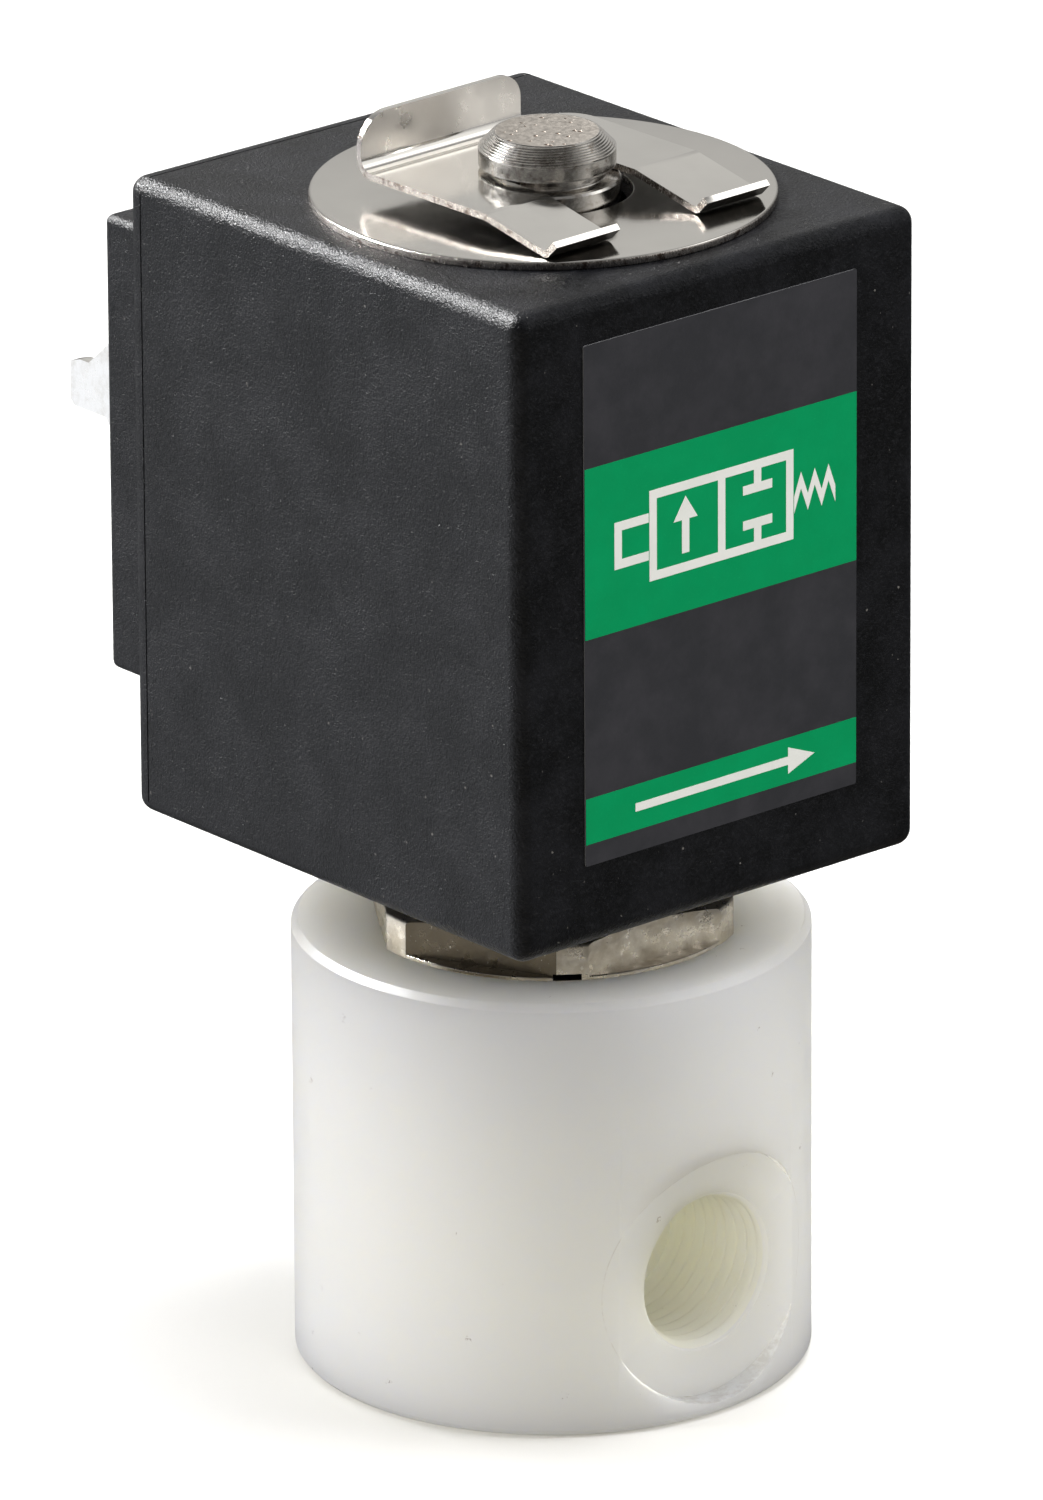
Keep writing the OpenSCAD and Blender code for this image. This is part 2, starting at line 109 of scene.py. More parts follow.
def new_object(name, verts, faces):
    """A mesh object in millimetres, with its faces turned outwards."""
    mesh = bpy.data.meshes.new(name)
    mesh.from_pydata([tuple(v) for v in verts], [], faces)
    obj = bpy.data.objects.new(name, mesh)
    bpy.context.scene.collection.objects.link(obj)
    work = bmesh.new()
    work.from_mesh(mesh)
    bmesh.ops.remove_doubles(work, verts=work.verts, dist=1e-5)
    bmesh.ops.recalc_face_normals(work, faces=work.faces)
    work.to_mesh(mesh)
    work.free()
    return obj


def lathe(name, profile, segments=128, centre=(0, 0)):
    """Turns a closed outline of (radius, z) points round the Z axis."""
    verts, faces = [], []
    count = len(profile)
    for r, z in profile:
        for k in range(segments):
            a = 2 * pi * k / segments
            verts.append((centre[0] + r * cos(a), centre[1] + r * sin(a), z))
    for i in range(count):
        j = (i + 1) % count
        if profile[i][0] < 1e-6 and profile[j][0] < 1e-6:
            continue
        for k in range(segments):
            m = (k + 1) % segments
            ring = [i * segments + k, i * segments + m, j * segments + m, j * segments + k]
            if profile[i][0] < 1e-6:
                ring = [ring[0], ring[2], ring[3]]
            elif profile[j][0] < 1e-6:
                ring = ring[:3]
            faces.append(ring)
    return new_object(name, verts, faces)


def prism(name, outline, low, high, place=None):
    """Extrudes an outline from low to high along Z, then puts it in its place."""
    count = len(outline)
    verts = [(x, y, low) for x, y in outline] + [(x, y, high) for x, y in outline]
    faces = [list(range(count))[::-1], list(range(count, 2 * count))]
    faces += [[i, (i + 1) % count, count + (i + 1) % count, count + i] for i in range(count)]
    obj = new_object(name, verts, faces)
    if place is not None:
        obj.data.transform(place)
    return obj


def box(name, low, high):
    """A plain box, used to cut with."""
    outline = [(low[0], low[1]), (high[0], low[1]), (high[0], high[1]), (low[0], high[1])]
    return prism(name, outline, low[2], high[2])


def rod(name, r, low, high, place=None, segments=96):
    """A plain round rod, used to cut with."""
    obj = lathe(name, [(0, low), (r, low), (r, high), (0, high)], segments)
    if place is not None:
        obj.data.transform(place)
    return obj


def carve(obj, tools, operation="DIFFERENCE"):
    """Cuts the tools from an object, or joins or crosses it with them, and removes the tools."""
    for tool in tools:
        step = obj.modifiers.new("carve", "BOOLEAN")
        step.object = tool
        step.operation = operation
        step.solver = "EXACT"
    settle(obj)
    for tool in tools:
        bpy.data.objects.remove(tool)
    return obj


def settle(obj):
    """Applies an object's modifiers."""
    seen = obj.evaluated_get(bpy.context.evaluated_depsgraph_get())
    mesh = bpy.data.meshes.new_from_object(seen)
    obj.modifiers.clear()
    obj.data = mesh
    return obj


def soften(obj, width, angle=30, segments=3):
    """Rounds the sharp edges of an object by a small width."""
    step = obj.modifiers.new("soften", "BEVEL")
    step.width = width
    step.segments = segments
    step.limit_method = "ANGLE"
    step.angle_limit = radians(angle)
    step.harden_normals = False
    return settle(obj)


def rounded_block(name, low, high, r, steps=6):
    """A block whose edges and corners are all rounded."""
    work = bmesh.new()
    bmesh.ops.create_cube(work, size=1)
    low, high = Vector(low), Vector(high)
    size, middle = high - low, (high + low) / 2
    for v in work.verts:
        v.co = Vector((v.co.x * size.x, v.co.y * size.y, v.co.z * size.z)) + middle
    bmesh.ops.bevel(
        work, geom=work.edges[:], offset=r, segments=steps, profile=0.5, affect="EDGES"
    )
    mesh = bpy.data.meshes.new(name)
    work.to_mesh(mesh)
    work.free()
    obj = bpy.data.objects.new(name, mesh)
    bpy.context.scene.collection.objects.link(obj)
    return obj


def finish_piece(obj, finish, body, stands_for=(), sharp=32, weighted=False):
    """Scales a piece to metres, smooths and paints it, and lets it ride on its body."""
    obj.data.transform(Matrix.Scale(MM, 4))
    obj.data.materials.clear()
    for look in finish if isinstance(finish, (list, tuple)) else [finish]:
        obj.data.materials.append(look)
    obj.data.shade_smooth()
    obj.data.set_sharp_from_angle(angle=radians(sharp))
    if weighted:
        step = obj.modifiers.new("flat faces", "WEIGHTED_NORMAL")
        step.keep_sharp = True
        settle(obj)
    if stands_for:
        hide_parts(*stands_for)
    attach(obj, body)
    return obj


# ---------------------------------------------------------------- material helpers


class Look:
    """A material being built: its nodes, its shader, and its coordinates in millimetres."""

    def __init__(self, name, colour, roughness, metallic=0.0, **settings):
        self.material = bpy.data.materials.new(name)
        self.material.use_nodes = True
        self.tree = self.material.node_tree
        self.shader = self.tree.nodes["Principled BSDF"]
        self.colour = (*colour, 1)
        self.shader.inputs["Base Color"].default_value = self.colour
        self.shader.inputs["Roughness"].default_value = roughness
        self.shader.inputs["Metallic"].default_value = metallic
        for socket, value in settings.items():
            self.shader.inputs[socket.replace("_", " ")].default_value = value
        where = self.add("ShaderNodeTexCoord")
        scale = self.add("ShaderNodeVectorMath", operation="SCALE")
        scale.inputs["Scale"].default_value = 1 / MM
        self.link(where.outputs["Object"], scale.inputs[0])
        self.place = scale.outputs[0]
        self.facing = self.add("ShaderNodeNewGeometry").outputs["True Normal"]
        self.height = None

    def add(self, kind, **settings):
        node = self.tree.nodes.new(kind)
        for key, value in settings.items():
            setattr(node, key, value)
        return node

    def link(self, source, target):
        self.tree.links.new(source, target)

    def feed(self, source, target):
        """Feeds a socket with another socket, or with a number."""
        if isinstance(source, (int, float)):
            target.default_value = source
        else:
            self.link(source, target)

    def math(self, operation, a, b=0.0):
        node = self.add("ShaderNodeMath", operation=operation)
        self.feed(a, node.inputs[0])
        self.feed(b, node.inputs[1])
        return node.outputs[0]

    def stretch(self, scale):
        """The coordinates, squeezed or stretched along each axis."""
        node = self.add("ShaderNodeVectorMath", operation="MULTIPLY")
        self.link(self.place, node.inputs[0])
        node.inputs[1].default_value = scale
        return node.outputs[0]

    def turned(self, degrees, scale):
        """The coordinates, tilted a little, turned about Z and then stretched."""
        tilt_x, tilt_y = 0.3, 0.2
        node = self.add("ShaderNodeMapping", vector_type="TEXTURE")
        self.link(self.place, node.inputs["Vector"])
        node.inputs["Rotation"].default_value = (tilt_x, tilt_y, radians(degrees))
        node.inputs["Scale"].default_value = tuple(1 / s for s in scale)
        return node.outputs[0]

    def grain(self, size, detail=3.0, rough=0.55, where=None):
        """Soft noise from 0 to 1, whose features are about size millimetres wide."""
        node = self.add("ShaderNodeTexNoise")
        node.inputs["Scale"].default_value = 1 / size
        node.inputs["Detail"].default_value = detail
        node.inputs["Roughness"].default_value = rough
        self.link(where or self.place, node.inputs["Vector"])
        return node.outputs["Fac"]

    def cells(self, size, where=None):
        """Distance from the nearest of a scatter of points about size millimetres apart."""
        node = self.add("ShaderNodeTexVoronoi")
        node.inputs["Scale"].default_value = 1 / size
        self.link(where or self.place, node.inputs["Vector"])
        return node.outputs["Distance"]

    def band(self, source, low, high, to_low=0.0, to_high=1.0):
        """Maps low..high of a value to to_low..to_high, clamped."""
        node = self.add("ShaderNodeMapRange")
        self.link(source, node.inputs["Value"])
        node.inputs["From Min"].default_value = low
        node.inputs["From Max"].default_value = high
        node.inputs["To Min"].default_value = to_low
        node.inputs["To Max"].default_value = to_high
        return node.outputs["Result"]

    def from_y_axis(self, axis_z):
        """Distance in millimetres from the line along Y at a height of axis_z."""
        away = self.add("ShaderNodeVectorMath", operation="SUBTRACT")
        self.link(self.place, away.inputs[0])
        away.inputs[1].default_value = (0, 0, axis_z)
        flat = self.add("ShaderNodeVectorMath", operation="MULTIPLY")
        self.link(away.outputs[0], flat.inputs[0])
        flat.inputs[1].default_value = (1, 0, 1)
        length = self.add("ShaderNodeVectorMath", operation="LENGTH")
        self.link(flat.outputs[0], length.inputs[0])
        return length.outputs["Value"]

    def tint(self, mask, colour):
        """Blends the base colour towards another where the mask is high."""
        node = self.add("ShaderNodeMix", data_type="RGBA")
        socket = self.shader.inputs["Base Color"]
        self.feed(mask, node.inputs["Factor"])
        if socket.is_linked:
            self.link(socket.links[0].from_socket, node.inputs["A"])
        else:
            node.inputs["A"].default_value = self.colour
        node.inputs["B"].default_value = (*colour, 1)
        self.link(node.outputs["Result"], socket)
        return self

    def rough(self, source):
        self.link(source, self.shader.inputs["Roughness"])
        return self

    def bump(self, source, height):
        """Adds a relief of height millimetres."""
        step = self.math("MULTIPLY", source, height)
        self.height = step if self.height is None else self.math("ADD", self.height, step)
        return self

    def done(self):
        """Connects the relief and hands over the material."""
        if self.height is not None:
            node = self.add("ShaderNodeBump")
            node.inputs["Strength"].default_value = 1.0
            node.inputs["Distance"].default_value = MM
            self.link(self.height, node.inputs["Height"])
            self.link(node.outputs["Normal"], self.shader.inputs["Normal"])
        return self.material


# ---------------------------------------------------------------- materials

PORT_Z = mount_place("inlet_port").z
SPOTFACE_R = 7.5
# The nut's angles from +X, in degrees: a corner, the flat whose colour is painted dark as shade,
# and the flats milled through the foot. The flats are 60 degrees apart, but each angle is written
# out, because the nut's cuts come out wrong when the angles differ in their last digits
NUT_CORNER, SHADED_FLAT, MILLED_FLATS = -4.4, -154.4, (145.6, -34.4)


def white_fluoroplastic(name, colour=(0.95, 0.94, 0.86), depth=22, creases=()):
    """Turned white plastic that light sinks into, with a few specks and grime in its creases.

    The light sinks depth millimetres deep. A crease is a circle round a line along Y, given
    by the height of that line, the circle's radius and how wide the grime spreads.
    """
    look = Look(name, colour, 0.42, Subsurface_Weight=1.0, IOR=1.36)
    look.shader.inputs["Subsurface Radius"].default_value = (1.0, 0.95, 0.78)
    look.shader.inputs["Subsurface Scale"].default_value = depth * MM
    look.tint(look.band(look.grain(9, 2), 0.35, 0.7, 0, 0.35), (0.94, 0.92, 0.86))
    spread = look.math("GREATER_THAN", look.grain(1.4, 1), 0.60)
    specks = look.band(look.math("ADD", look.cells(1.9), look.grain(0.12, 2)), 0.50, 0.47)
    specks = look.math("MULTIPLY", specks, look.math("MULTIPLY", spread, 0.7))
    look.tint(specks, (0.40, 0.33, 0.25))
    for axis_z, r, wide in creases:
        off = look.math("ABSOLUTE", look.math("SUBTRACT", look.from_y_axis(axis_z), r))
        line = look.band(off, wide, 0.0)
        broken = look.band(look.grain(1.1, 3, 0.7), 0.42, 0.62, 0.0, 0.35)
        look.tint(look.math("MULTIPLY", line, broken), (0.46, 0.38, 0.27))
    look.rough(look.band(look.grain(1.6, 3), 0.3, 0.7, 0.34, 0.52))
    rings = look.grain(0.35, 2, where=look.stretch((0.04, 0.04, 1)))
    return look.bump(rings, 0.0035).bump(look.grain(3.0, 2), 0.02).done()


def nickel_brass():
    """Thin nickel on milled brass, warm where it has worn, with one flat painted dark as shade."""
    look = Look("nickel_plated_brass", (0.68, 0.635, 0.56), 0.3, 1.0)
    look.tint(look.band(look.grain(1.6, 5, 0.65), 0.44, 0.64, 0, 0.7), (0.50, 0.44, 0.35))
    # Painted shade: the one flat facing this way is tinted dark brown, standing in for the shade
    # and dark reflection on it
    dull = look.add("ShaderNodeVectorMath", operation="DOT_PRODUCT")
    look.link(look.facing, dull.inputs[0])
    dull.inputs[1].default_value = (cos(radians(SHADED_FLAT)), sin(radians(SHADED_FLAT)), 0)
    flat_painted_shade = look.band(dull.outputs["Value"], 0.97, 0.995, 0, 0.9)
    look.tint(flat_painted_shade, (0.125, 0.103, 0.072))
    look.tint(look.band(look.grain(0.30, 3, 0.7), 0.66, 0.74, 0, 0.9), (0.80, 0.77, 0.71))
    look.rough(look.band(look.grain(0.8, 4), 0.35, 0.68, 0.22, 0.48))
    marks = look.grain(0.14, 3, where=look.turned(24, (1, 1, 0.12)))
    look.bump(marks, 0.010).bump(look.grain(0.6, 4), 0.05)
    return look.done()


def turned_steel():
    """Steel with the fine rings that a lathe leaves."""
    look = Look("turned_steel", (0.62, 0.60, 0.57), 0.2, 1.0)
    look.tint(look.band(look.grain(0.5, 4, 0.65), 0.52, 0.70, 0, 0.75), (0.34, 0.29, 0.24))
    rings = look.grain(0.05, 2, where=look.stretch((0.05, 0.05, 1)))
    look.rough(look.band(look.grain(0.4, 3), 0.35, 0.7, 0.12, 0.26))
    return look.bump(rings, 0.003).bump(look.grain(0.25, 3), 0.003).done()


def faced_steel():
    """The flat end of a turned bar: dull, beige-grey and pitted."""
    look = Look("faced_steel", (0.31, 0.285, 0.255), 0.5, 1.0)
    look.tint(look.band(look.grain(0.9, 4), 0.45, 0.7, 0, 0.5), (0.27, 0.245, 0.215))
    pits = look.band(look.cells(0.55), 0.26, 0.14)
    spread = look.math("GREATER_THAN", look.grain(0.9, 2), 0.50)
    pits = look.math("MULTIPLY", pits, spread)
    look.tint(pits, (0.10, 0.06, 0.04))
    look.rough(look.band(look.grain(0.3, 3), 0.3, 0.7, 0.42, 0.62))
    return look.bump(pits, -0.05).bump(look.grain(0.16, 4), 0.012).done()


def polished_sheet(name, colour, shine):
    """Rolled sheet, polished bright, with fine scratches that run all ways."""
    look = Look(name, colour, shine, 1.0)
    look.tint(look.band(look.grain(6, 3), 0.4, 0.7, 0, 0.5), tuple(c * 0.86 for c in colour))
    marks = None
    for turn in (17, 68, 131):
        lines = look.grain(0.09, 2, where=look.turned(turn, (1, 0.02, 1)))
        fine = look.band(lines, 0.66, 0.78)
        marks = fine if marks is None else look.math("MAXIMUM", marks, fine)
    base = look.band(look.grain(1.4, 4), 0.3, 0.7, shine * 0.8, shine * 1.35)
    look.rough(look.math("ADD", base, look.math("MULTIPLY", marks, 0.10)))
    return look.bump(marks, -0.0010).bump(look.grain(7.0, 1), 0.004).done()


def underside_painted_shade():
    """The clip's sheet below, painted near black as shade, with slightly paler streaks."""
    look = Look("underside_painted_shade", (0.020, 0.018, 0.016), 0.45, 0.7)
    look.tint(look.band(look.grain(0.8, 4), 0.5, 0.75), (0.045, 0.040, 0.035))
    look.rough(look.band(look.grain(0.5, 3), 0.3, 0.7, 0.35, 0.55))
    return look.bump(look.grain(0.3, 3), 0.01).done()


def sheared_edge():
    """The cut edge of the sheet: bright, with torn vertical streaks."""
    look = Look("sheared_edge", (0.58, 0.54, 0.505), 0.22, 1.0)
    streaks = look.grain(0.07, 3, where=look.stretch((1, 1, 0.25)))
    look.tint(look.band(look.grain(0.45, 4, 0.7), 0.50, 0.62), (0.16, 0.12, 0.10))
    look.rough(look.band(streaks, 0.3, 0.7, 0.14, 0.30))
    return look.bump(streaks, 0.035).done()


def black_moulding():
    """Black moulded plastic: fine satin grain, clouds, and a little dust."""
    look = Look("black_moulding", (0.0016, 0.0020, 0.0030), 0.36, Specular_IOR_Level=0.28)
    clouds = look.band(look.grain(5.0, 6, 0.72), 0.42, 0.62)
    look.tint(clouds, (0.0075, 0.0080, 0.0105))
    pale = look.band(look.grain(0.30, 4, 0.75), 0.52, 0.74)
    look.tint(look.math("MULTIPLY", pale, 0.45), (0.026, 0.027, 0.032))
    near = look.math("LESS_THAN", look.cells(1.3), 0.06)
    dust = look.math("MULTIPLY", near, look.math("GREATER_THAN", look.grain(1.2, 1), 0.56))
    fibre = look.grain(0.16, 1, where=look.turned(52, (1, 0.12, 0.4)))
    fibre = look.math("MULTIPLY", look.band(fibre, 0.78, 0.83), 0.8)
    look.tint(look.math("MAXIMUM", dust, fibre), (0.16, 0.155, 0.15))
    smears = look.band(look.grain(5.0, 5, 0.65), 0.36, 0.68, 0.0, 0.12)
    fine = look.band(look.grain(0.35, 3, 0.7), 0.35, 0.70, 0.25, 0.40)
    look.rough(look.math("ADD", smears, fine))
    look.bump(look.grain(0.30, 3, 0.7), 0.07).bump(look.grain(0.16, 2, 0.8), 0.08)
    return look.bump(look.grain(14, 2), 0.06).done()


def label_film(name, colour, second):
    """Printed film with a little texture from the face under it."""
    look = Look(name, colour, 0.40, Specular_IOR_Level=0.20)
    look.tint(look.band(look.grain(3.2, 4, 0.65), 0.40, 0.70), second)
    pale = look.band(look.grain(0.13, 2), 0.64, 0.84)
    paler = tuple(min(1, c * 1.6 + 0.02) for c in colour)
    look.tint(look.math("MULTIPLY", pale, 0.25), paler)
    look.rough(look.band(look.grain(0.9, 3), 0.3, 0.7, 0.34, 0.47))
    return look.bump(look.grain(0.17, 2), 0.006).bump(look.grain(2.0, 2), 0.008).done()


def plain_metal(name, colour, second, ring=0.0, shine=0.3):
    """Engineering metal with two tones, and with rings of about ring millimetres if not 0."""
    look = Look(name, colour, shine, 1.0)
    look.tint(look.band(look.grain(0.9, 4), 0.42, 0.70), second)
    look.rough(look.band(look.grain(0.6, 3), 0.3, 0.7, shine * 0.7, shine * 1.4))
    if ring:
        look.bump(look.grain(ring, 2, where=look.stretch((0.05, 0.05, 1))), 0.01)
    return look.bump(look.grain(0.22, 3), 0.003).done()


def plain_moulding(name, colour, second, shine=0.45, grain=0.2, depth=0.012):
    """Moulded plastic or rubber with two tones and a fine grain."""
    look = Look(name, colour, shine)
    look.tint(look.band(look.grain(2.4, 3), 0.4, 0.7), second)
    look.rough(look.band(look.grain(0.8, 3), 0.3, 0.7, shine * 0.8, min(1, shine * 1.25)))
    return look.bump(look.grain(grain, 3), depth).done()


white_body = white_fluoroplastic("white_fluoroplastic", creases=[(PORT_Z, SPOTFACE_R, 0.05)])
# Painted light: a brighter, yellower copy of the plastic for the ports' walls
port_painted_light = white_fluoroplastic("white_fluoroplastic_port_painted_light", (1.0, 0.985, 0.80), 16)
white_part = white_fluoroplastic("white_fluoroplastic_inner", depth=3)
nut_metal = nickel_brass()
steel = turned_steel()
steel_face = faced_steel()
washer_metal = polished_sheet("polished_washer", (0.74, 0.72, 0.68), 0.13)
clip_metal = polished_sheet("polished_clip", (0.79, 0.77, 0.73), 0.11)
# Painted light: a paler, rougher copy of the clip's polish, for the tab
tab_painted_light = polished_sheet("polished_tab_painted_light", (0.93, 0.90, 0.86), 0.30)
cut_metal = sheared_edge()
# Painted shade: a near-black copy of the sheet for the clip's underside
underside_shade = underside_painted_shade()
black = black_moulding()
film_dark = label_film("label_dark", (0.034, 0.035, 0.041), (0.046, 0.046, 0.054))
film_green = label_film("label_green", (0.000, 0.310, 0.108), (0.000, 0.337, 0.120))
film_edge = label_film("label_edge", (0.20, 0.20, 0.21), (0.14, 0.14, 0.15))
film_white = label_film("label_white", (0.88, 0.90, 0.89), (0.82, 0.85, 0.83))
copper = plain_metal("copper_wire", (0.72, 0.33, 0.18), (0.50, 0.19, 0.10), 0.2, 0.28)
zinc = plain_metal("zinc_steel", (0.48, 0.49, 0.51), (0.36, 0.37, 0.40), 0, 0.36)
tinned = plain_metal("tinned_brass", (0.84, 0.83, 0.80), (0.70, 0.68, 0.63), 0, 0.22)
brass = plain_metal("turned_brass", (0.80, 0.60, 0.28), (0.62, 0.43, 0.18), 0.08, 0.26)
spring_wire = plain_metal("spring_wire", (0.55, 0.54, 0.52), (0.40, 0.39, 0.38), 0, 0.24)
rubber = plain_moulding("black_rubber", (0.022, 0.022, 0.023), (0.034, 0.034, 0.035), 0.62, 0.15)
# Painted shade: near black, for the inside of the nut's notch
notch_painted_shade = plain_moulding("notch_shadow", (0.0015, 0.0015, 0.002), (0.003, 0.003, 0.003), 0.8)
nylon = plain_moulding("natural_nylon", (0.62, 0.50, 0.31), (0.54, 0.42, 0.25), 0.5, 0.25)
sleeve = plain_moulding("red_sleeve", (0.42, 0.035, 0.025), (0.30, 0.025, 0.02), 0.45, 0.2)

# The nodes that keep their CAD shape
for node, finish in {
    "core_tube": steel, "shading_ring": copper, "tube_o_ring": rubber,
    "bellows_clamp_ring": steel, "coil_gasket": rubber, "plunger": steel,
    "guide_ring": white_part, "plunger_stem": steel, "poppet": white_part, "bobbin": nylon,
    "winding": copper, "yoke": zinc, "lower_flux_bush": zinc, "upper_flux_bush": zinc,
    "power_terminals": tinned, "ground_terminal": tinned, "screw_insert": brass,
    "coil_leads": sleeve,
}.items():
    nodes[node].data.materials.clear()
    nodes[node].data.materials.append(finish)


# ---------------------------------------------------------------- valve body

THREAD_PITCH = 0.907
THREAD_MAJOR_R = 4.70
BELLOWS_RIM = 0.4


def thread_cutter(name, bore_r, depth):
    """A plug with the port's thread on it, mouth at z = 0 and its end at -depth."""
    segments, rise_steps = 96, 10
    rows = int(depth / THREAD_PITCH * rise_steps)
    mouth_r, mouth_chamfer, runout = THREAD_MAJOR_R + 0.05, 0.55, 0.6
    ridge_height = THREAD_MAJOR_R - bore_r
    heights = [1.0, 0.0] + [-depth * (i + 1) / rows for i in range(rows)]
    verts = []
    for z in heights:
        for k in range(segments):
            turn = k / segments
            phase = (z / THREAD_PITCH - turn) % 1
            ridge = 0.5 + 0.5 * cos(2 * pi * phase)
            fade = min(1, max(0, (z + depth) / runout))
            r = bore_r + ridge_height * ridge * fade
            r = max(r, mouth_r + min(0, z) * ridge_height / mouth_chamfer)
            verts.append((r * cos(2 * pi * turn), r * sin(2 * pi * turn), z))
    count = len(heights)
    faces = [list(range(segments)), list(range((count - 1) * segments, count * segments))[::-1]]
    for i in range(count - 1):
        for k in range(segments):
            m = (k + 1) % segments
            faces.append([
                i * segments + k, (i + 1) * segments + k, (i + 1) * segments + m, i * segments + m
            ])
    return new_object(name, verts, faces)


def valve_body():
    high = corners("valve_body")[1]
    r, top = high.x, high.z
    chamfer, edge = 0.4, 0.12
    bonnet_bore, ledge = 9.0, corners("bellows")[1].z - BELLOWS_RIM
    seat_z = corners("poppet")[0].z
    floor_z, chamber, seat, orifice_r = seat_z - 1, 5.5, 2.8, 1.5
    # One hole leads from the inlet to the orifice, the other from the chamber to the outlet
    flow_r, transfer_r, transfer_y = 1.6, 1.2, 4.1
    outline = [
        (0, 0), (r - chamfer, 0), (r, chamfer), (r, top - chamfer), (r - chamfer, top),
        (bonnet_bore, top), (bonnet_bore, ledge), (chamber, ledge), (chamber, floor_z),
        (seat, floor_z), (seat, seat_z), (0, seat_z)
    ]
    rounding = [0, edge, edge, edge, edge, edge, 0.05, 0.1, 0.1, 0.1, 0.1, 0]
    body = lathe("turned_body", fillet(outline, rounding, steps=4), 256)
    tools = []
    for name, turn, hole_end in (("inlet_port", 0, 0), ("outlet_port", pi, 3.6)):
        place = mount_place(name)
        bore_r = mounts[name]["dims"]["r_mm"]
        depth = mounts[name]["dims"]["length_mm"]
        face = abs(place.y)
        lie = Matrix.Translation((0, 0, place.z)) @ Matrix.Rotation(turn, 4, "Z")
        lie = lie @ Matrix.Rotation(pi / 2, 4, "X") @ Matrix.Translation((0, 0, face))
        tools.append(rod("spotface", SPOTFACE_R, 0, 3, lie, 160))
        thread = thread_cutter("port_thread", bore_r, depth)
        thread.data.transform(lie)
        tools.append(thread)
        tools.append(rod("flow_hole", flow_r, hole_end - face, -depth + 0.5, lie, 48))
    tools.append(rod("orifice", orifice_r, PORT_Z, seat_z + 1, None, 48))
    across = Matrix.Translation((0, transfer_y, 0))
    tools.append(rod("transfer_hole", transfer_r, PORT_Z, floor_z + 1, across, 48))
    carve(body, tools)
    finish_piece(body, [white_body, port_painted_light], "valve", ["valve_body"], 30)
    # The ports' walls get a brighter, yellower copy of the plastic: painted light, standing in for
    # the light that crosses more plastic to reach them
    port_face = abs(mount_place("inlet_port").y)
    for face in body.data.polygons:
        x, y, z = face.center / MM
        off_axis = sqrt(x * x + (z - PORT_Z) ** 2)
        if off_axis < THREAD_MAJOR_R + 0.02 and abs(y) < port_face - 0.3:
            face.material_index = 1


# ---------------------------------------------------------------- bonnet nut


def bonnet_nut():
    low, high = corners("bonnet_nut")
    body_top = corners("valve_body")[1].z
    top = high.z
    flats, bar_r, foot = 10.0, 11.05, 0.25
    bore, shank_r = 4.3, 8.95
    notch_angle, notch_half, notch_deep, notch_top = radians(-36), 0.825, 1, body_top + 0.4
    turn = radians(NUT_CORNER)
    hex_r = flats / cos(pi / 6)
    hexagon = [
        (hex_r * cos(turn + k * pi / 3), hex_r * sin(turn + k * pi / 3)) for k in range(6)
    ]
    nut = prism("hex_bonnet", hexagon, body_top, top)
    # The hexagon is milled on a round bar, whose upper edge is chamfered
    bar = lathe("bar", fillet([
        (0, body_top - 1), (bar_r, body_top - 1), (bar_r, top - 0.52), (bar_r - 1.3, top), (0, top)
    ], [0, 0, 0.25, 0.1, 0]), 192)
    carve(nut, [bar], "INTERSECT")
    flange = lathe("foot", fillet([
        (0, body_top), (bar_r, body_top), (bar_r, body_top + foot), (0, body_top + foot)
    ], [0, 0.05, 0.08, 0]), 192)
    shank = rod("shank", shank_r, low.z, body_top + 0.1)
    carve(nut, [flange, shank], "UNION")
    # Two of the flats are milled right down, through the foot
    for angle in MILLED_FLATS:
        milled = box("milled", (flats, -7, body_top - 0.01), (flats + 3, 7, body_top + 1))
        milled.data.transform(Matrix.Rotation(radians(angle), 4, "Z"))
        carve(nut, [milled])
    notch = box(
        "notch", (-notch_half, -bar_r - 1, body_top + 0.03),
        (notch_half, -bar_r + notch_deep, notch_top)
    )
    notch.data.transform(Matrix.Rotation(notch_angle, 4, "Z"))
    carve(nut, [rod("bore", bore, low.z - 1, top + 1), notch])
    soften(nut, 0.07, 25, 2)
    finish_piece(
        nut, [nut_metal, notch_painted_shade], "valve", ["bonnet_nut"], 30, True
    )
    # Painted shade: the faces inside the notch in the foot get a near-black look, standing in for
    # the shade in it
    near = 0.01
    out = Vector((sin(notch_angle), -cos(notch_angle), 0))
    across = Vector((-out.y, out.x, 0))
    for face in nut.data.polygons:
        place = face.center / MM
        in_width = abs(place.dot(across)) < notch_half + 1.5 * near
        in_depth = bar_r - notch_deep - 5 * near < place.dot(out) < bar_r - near
        if in_width and in_depth and body_top + 2 * near < place.z < notch_top + near:
            face.material_index = 1


# ---------------------------------------------------------------- head of the fixed core


